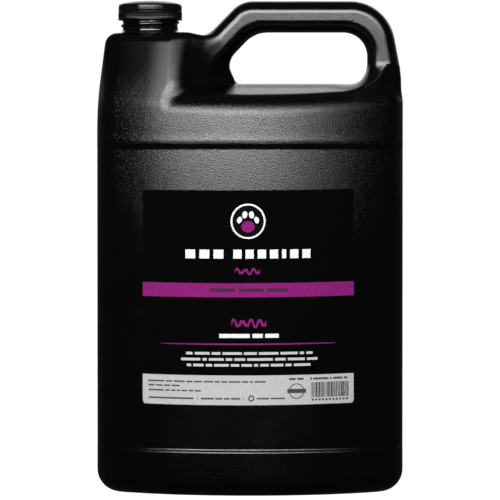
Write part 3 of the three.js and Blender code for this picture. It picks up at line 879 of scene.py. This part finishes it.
class Nodes:
    """A small helper for building a material's node tree."""

    def __init__(self, name):
        self.material = bpy.data.materials.new(name)
        self.material.use_nodes = True
        self.tree = self.material.node_tree
        self.tree.nodes.remove(self.tree.nodes["Principled BSDF"])
        self.place = self.node("ShaderNodeTexCoord").outputs["Object"]

    def node(self, kind, **settings):
        made = self.tree.nodes.new(kind)
        for key, value in settings.items():
            setattr(made, key, value)
        return made

    def feed(self, socket, value):
        if isinstance(value, bpy.types.NodeSocket):
            self.tree.links.new(value, socket)
        else:
            socket.default_value = value

    def math(self, operation, *values):
        made = self.node("ShaderNodeMath", operation=operation)
        for socket, value in zip(made.inputs, values):
            self.feed(socket, value)
        return made.outputs[0]

    def noise(self, scale, detail=2.0, stretch=(1, 1, 1)):
        mapping = self.node("ShaderNodeMapping")
        self.feed(mapping.inputs["Vector"], self.place)
        mapping.inputs["Scale"].default_value = stretch
        made = self.node("ShaderNodeTexNoise")
        self.feed(made.inputs["Vector"], mapping.outputs[0])
        made.inputs["Scale"].default_value = scale
        made.inputs["Detail"].default_value = detail
        return made.outputs[0]

    def between(self, value, low, high):
        made = self.node("ShaderNodeMapRange")
        self.feed(made.inputs["Value"], value)
        made.inputs["From Min"].default_value = 0.3
        made.inputs["From Max"].default_value = 0.7
        made.inputs["To Min"].default_value = low
        made.inputs["To Max"].default_value = high
        return made.outputs[0]

    def colour(self, value, dark, light):
        made = self.node("ShaderNodeValToRGB")
        self.feed(made.inputs[0], value)
        made.color_ramp.elements[0].position = 0.3
        made.color_ramp.elements[0].color = (*dark, 1)
        made.color_ramp.elements[1].position = 0.7
        made.color_ramp.elements[1].color = (*light, 1)
        return made.outputs[0]

    def bump(self, height, distance):
        made = self.node("ShaderNodeBump")
        made.inputs["Strength"].default_value = 1.0
        made.inputs["Distance"].default_value = distance
        self.feed(made.inputs["Height"], height)
        self.bumped = made.outputs[0]

    def finish(self, colour, roughness, ior=1.5):
        """A diffuse base under a clear surface whose gloss falls off quickly."""
        base = self.node("ShaderNodeBsdfDiffuse")
        self.feed(base.inputs["Color"], colour)
        gloss = self.node("ShaderNodeBsdfAnisotropic", distribution="BECKMANN")
        self.feed(gloss.inputs["Roughness"], roughness)
        fresnel = self.node("ShaderNodeFresnel")
        fresnel.inputs["IOR"].default_value = ior
        for made in (base, gloss, fresnel):
            self.feed(made.inputs["Normal"], self.bumped)
        both = self.node("ShaderNodeMixShader")
        self.feed(both.inputs[0], fresnel.outputs[0])
        self.feed(both.inputs[1], base.outputs[0])
        self.feed(both.inputs[2], gloss.outputs[0])
        self.feed(self.tree.nodes["Material Output"].inputs["Surface"], both.outputs[0])
        return self.material


def jug_plastic(name, sanded):
    """Black polyethylene: sand grain, worn low down and smoother above, and a parting line."""
    nodes = Nodes(name)
    apart = nodes.node("ShaderNodeSeparateXYZ")
    nodes.feed(apart.inputs[0], nodes.place)
    seam = nodes.math("POWER", nodes.math("DIVIDE", apart.outputs["Y"], 0.0003), 2.0)
    seam = nodes.math("EXPONENT", nodes.math("MULTIPLY", seam, -1.0))
    streaks = nodes.noise(60, 3.0, (6.0, 6.0, 0.22))
    scuffs = nodes.noise(45, 6.0)
    height = nodes.math("MULTIPLY_ADD", streaks, 0.5, nodes.noise(1900, 1.0))
    if sanded:
        coarse = nodes.node("ShaderNodeMapRange", interpolation_type="SMOOTHSTEP")
        nodes.feed(coarse.inputs["Value"], apart.outputs["Z"])
        coarse.inputs["From Min"].default_value = 0.285
        coarse.inputs["From Max"].default_value = 0.24
        coarse.inputs["To Min"].default_value = 0.2
        coarse.inputs["To Max"].default_value = 3.4
        worn = nodes.node("ShaderNodeMapRange", interpolation_type="SMOOTHSTEP")
        nodes.feed(worn.inputs["Value"], apart.outputs["Z"])
        worn.inputs["From Min"].default_value = 0.14
        worn.inputs["From Max"].default_value = 0.21
        worn.inputs["To Min"].default_value = 0.25
        grain = nodes.math("MULTIPLY", coarse.outputs[0], worn.outputs[0])
        height = nodes.math("MULTIPLY_ADD", nodes.noise(1700, 1.0), grain, height)
        roughness = nodes.between(scuffs, 0.28, 0.31)
    else:
        roughness = nodes.between(scuffs, 0.1, 0.13)
    height = nodes.math("MULTIPLY_ADD", seam, 1.8, height)
    nodes.bump(height, 0.00006 if sanded else 0.00002)
    colour = nodes.colour(scuffs, (0.0005, 0.0005, 0.0006), (0.0009, 0.0009, 0.001))
    return nodes.finish(colour, roughness)


def cap_plastic():
    nodes = Nodes("cap_polypropylene")
    grain = nodes.noise(1700, 3.0)
    wear = nodes.noise(260, 5.0)
    nodes.bump(nodes.math("MULTIPLY_ADD", wear, 0.8, grain), 0.00003)
    colour = nodes.colour(wear, (0.0012, 0.0012, 0.0013), (0.0024, 0.0024, 0.0025))
    return nodes.finish(colour, nodes.between(wear, 0.15, 0.2), 1.28)


def liner_foam():
    nodes = Nodes("liner_foam")
    cells = nodes.noise(2400, 2.0)
    nodes.bump(cells, 0.00008)
    colour = nodes.colour(nodes.noise(300, 4.0), (0.62, 0.6, 0.54), (0.8, 0.78, 0.72))
    return nodes.finish(colour, nodes.between(cells, 0.75, 0.9))


def film_black():
    nodes = Nodes("label_film")
    waves = nodes.noise(38, 2.0)
    dust = nodes.noise(900, 4.0)
    nodes.bump(waves, 0.00006)
    colour = nodes.colour(dust, (0.0005, 0.0005, 0.0005), (0.0009, 0.0009, 0.0009))
    return nodes.finish(colour, nodes.between(dust, 0.1, 0.13))


def ink(name, dark, light):
    nodes = Nodes(name)
    speckle = nodes.noise(700, 4.0)
    nodes.bump(nodes.noise(38, 2.0), 0.00005)
    return nodes.finish(nodes.colour(speckle, dark, light), nodes.between(speckle, 0.14, 0.18))


# ------------------------------------------------------------------ stage


def plain(name, radiance, diffuse=None):
    material = bpy.data.materials.new(name)
    material.use_nodes = True
    tree = material.node_tree
    tree.nodes.remove(tree.nodes["Principled BSDF"])
    glow = tree.nodes.new("ShaderNodeEmission")
    glow.inputs["Strength"].default_value = radiance
    out = tree.nodes["Material Output"].inputs["Surface"]
    if diffuse is None:
        tree.links.new(glow.outputs[0], out)
        return material
    soft = tree.nodes.new("ShaderNodeBsdfDiffuse")
    soft.inputs["Color"].default_value = (diffuse, diffuse, diffuse, 1)
    both = tree.nodes.new("ShaderNodeAddShader")
    tree.links.new(glow.outputs[0], both.inputs[0])
    tree.links.new(soft.outputs[0], both.inputs[1])
    tree.links.new(both.outputs[0], out)
    return material


def stage_piece(made, material):
    made.data.materials.append(material)
    made.visible_glossy = False
    made.visible_diffuse = False
    made.visible_shadow = False


def build_stage():
    bpy.ops.mesh.primitive_circle_add(vertices=96, radius=5.9, fill_type="NGON", location=(0, 0, -0.0002))
    floor = bpy.context.object
    floor.name = "floor"
    stage_piece(floor, plain("pale_floor", 1.02, 0.3))
    bpy.ops.mesh.primitive_uv_sphere_add(segments=64, ring_count=32, radius=6.0)
    backdrop = bpy.context.object
    backdrop.name = "backdrop"
    stage_piece(backdrop, plain("pale_backdrop", 1.02))


# The world: how bright it is, and the wall's edges along the unit directions Y and Z.
WORLD_DARK = 0.03
WORLD_WALL = 1.3
WALL_SIDE = (0.72, 0.88)
WALL_TOP = (0.62, 0.42)
WALL_FOOT = (0.06, 0.2)


def build_world():
    """Dark all round, with a pale wall behind the object up to a third of the way overhead."""
    world = bpy.data.worlds.new("studio")
    bpy.context.scene.world = world
    world.use_nodes = True
    tree = world.node_tree
    place = tree.nodes.new("ShaderNodeTexCoord")
    apart = tree.nodes.new("ShaderNodeSeparateXYZ")
    tree.links.new(place.outputs["Generated"], apart.inputs[0])

    def fade(socket, start, end):
        made = tree.nodes.new("ShaderNodeMapRange")
        made.interpolation_type = "SMOOTHSTEP"
        tree.links.new(socket, made.inputs["Value"])
        made.inputs["From Min"].default_value = start
        made.inputs["From Max"].default_value = end
        return made.outputs[0]

    behind = fade(apart.outputs["Y"], *WALL_SIDE)
    low = fade(apart.outputs["Z"], *WALL_TOP)
    above_floor = fade(apart.outputs["Z"], *WALL_FOOT)
    product = behind
    for factor in (low, above_floor):
        times = tree.nodes.new("ShaderNodeMath")
        times.operation = "MULTIPLY"
        tree.links.new(product, times.inputs[0])
        tree.links.new(factor, times.inputs[1])
        product = times.outputs[0]
    strength = tree.nodes.new("ShaderNodeMapRange")
    tree.links.new(product, strength.inputs["Value"])
    strength.inputs["To Min"].default_value = WORLD_DARK
    strength.inputs["To Max"].default_value = WORLD_WALL
    tree.links.new(strength.outputs[0], tree.nodes["Background"].inputs["Strength"])
    tree.nodes["Background"].inputs["Color"].default_value = (1, 1, 1, 1)


# Azimuth in degrees, width in metres and radiance of each softbox, side by side.
SOFTBOXES = ((-16.5, 0.92, 19.0), (17, 0.27, 11.5), (34, 0.3, 5.2))
LAMP_ELEVATION = 26
LAMP_DISTANCE = 0.98
LAMP_HEIGHT = 0.48


def softbox(name, azimuth, elevation, distance, width, height, radiance):
    """An area lamp aimed at the object; azimuth 0 is straight in front, to the right positive."""
    data = bpy.data.lights.new(name, "AREA")
    data.shape = "RECTANGLE"
    data.size, data.size_y = width, height
    data.energy = radiance * math.pi * width * height
    lamp = bpy.data.objects.new(name, data)
    bpy.context.scene.collection.objects.link(lamp)
    target = Vector((0, 0, 0.16))
    a, e = math.radians(azimuth), math.radians(elevation)
    towards = Vector((math.sin(a) * math.cos(e), -math.cos(a) * math.cos(e), math.sin(e)))
    lamp.location = target + towards * distance
    lamp.rotation_euler = towards.to_track_quat("Z", "Y").to_euler()
    return lamp


# Metres: the camera stands straight in front and looks slightly down.
CAMERA_DISTANCE = 2.6
CAMERA_HEIGHT = 0.2163
TARGET_HEIGHT = 0.1514
VIEW_WIDTH = 0.3145
SENSOR_WIDTH = 36


def build_camera():
    data = bpy.data.cameras.new("camera")
    data.sensor_width = SENSOR_WIDTH
    data.lens = SENSOR_WIDTH * CAMERA_DISTANCE / VIEW_WIDTH
    data.clip_end = 20
    camera = bpy.data.objects.new("camera", data)
    bpy.context.scene.collection.objects.link(camera)
    camera.location = (0, -CAMERA_DISTANCE, CAMERA_HEIGHT)
    target = Vector((0, 0, TARGET_HEIGHT))
    camera.rotation_euler = (target - camera.location).to_track_quat("-Z", "Y").to_euler()
    bpy.context.scene.camera = camera


# ------------------------------------------------------------------ assembly


def build_object():
    points, faces, normals, slots = jug_mesh()
    skins = [jug_plastic("jug_polyethylene", True), jug_plastic("neck_polyethylene", False)]
    make_object("jug_bottle", points, faces, skins, "jug", ["jug_shell"], normals, slots)
    points, faces, fans = cap_mesh()
    make_object(
        "ribbed_cap", points, faces.tolist() + fans, [cap_plastic()], "cap", ["screw_cap"]
    )
    points, faces = liner_mesh()
    make_object("foam_liner", points, faces, [liner_foam()], "liner", ["cap_liner"])
    points, faces = label_film()
    normals = film_normals(points)
    make_object(
        "label_sheet", points, faces.tolist(), [film_black()], "jug", ["front_label"], normals
    )
    art = label_print()
    inks = [
        ink("ink_white", (0.36, 0.36, 0.36), (0.42, 0.42, 0.42)),
        ink("ink_magenta", (0.102, 0.0062, 0.07), (0.12, 0.0078, 0.084)),
        ink("ink_grey", (0.228, 0.228, 0.228), (0.26, 0.26, 0.26)),
        ink("ink_dark", (0.03, 0.008, 0.022), (0.04, 0.011, 0.03)),
        ink("ink_pale", (0.24, 0.24, 0.24), (0.28, 0.28, 0.28)),
        ink("ink_black", (0.0016, 0.0016, 0.0017), (0.0024, 0.0024, 0.0025)),
        ink("ink_slate", (0.028, 0.026, 0.028), (0.036, 0.034, 0.036)),
    ]
    points, faces = np.concatenate(art.points), np.concatenate(art.faces).tolist()
    normals = film_normals(points)
    make_object("label_print", points, faces, inks, "jug", (), normals, art.slots)


build_object()
build_stage()
build_world()
for azimuth, width, radiance in SOFTBOXES:
    softbox(f"softbox_{azimuth}", azimuth, LAMP_ELEVATION, LAMP_DISTANCE, width, LAMP_HEIGHT, radiance)
build_camera()
bpy.context.scene.view_settings.view_transform = "Standard"
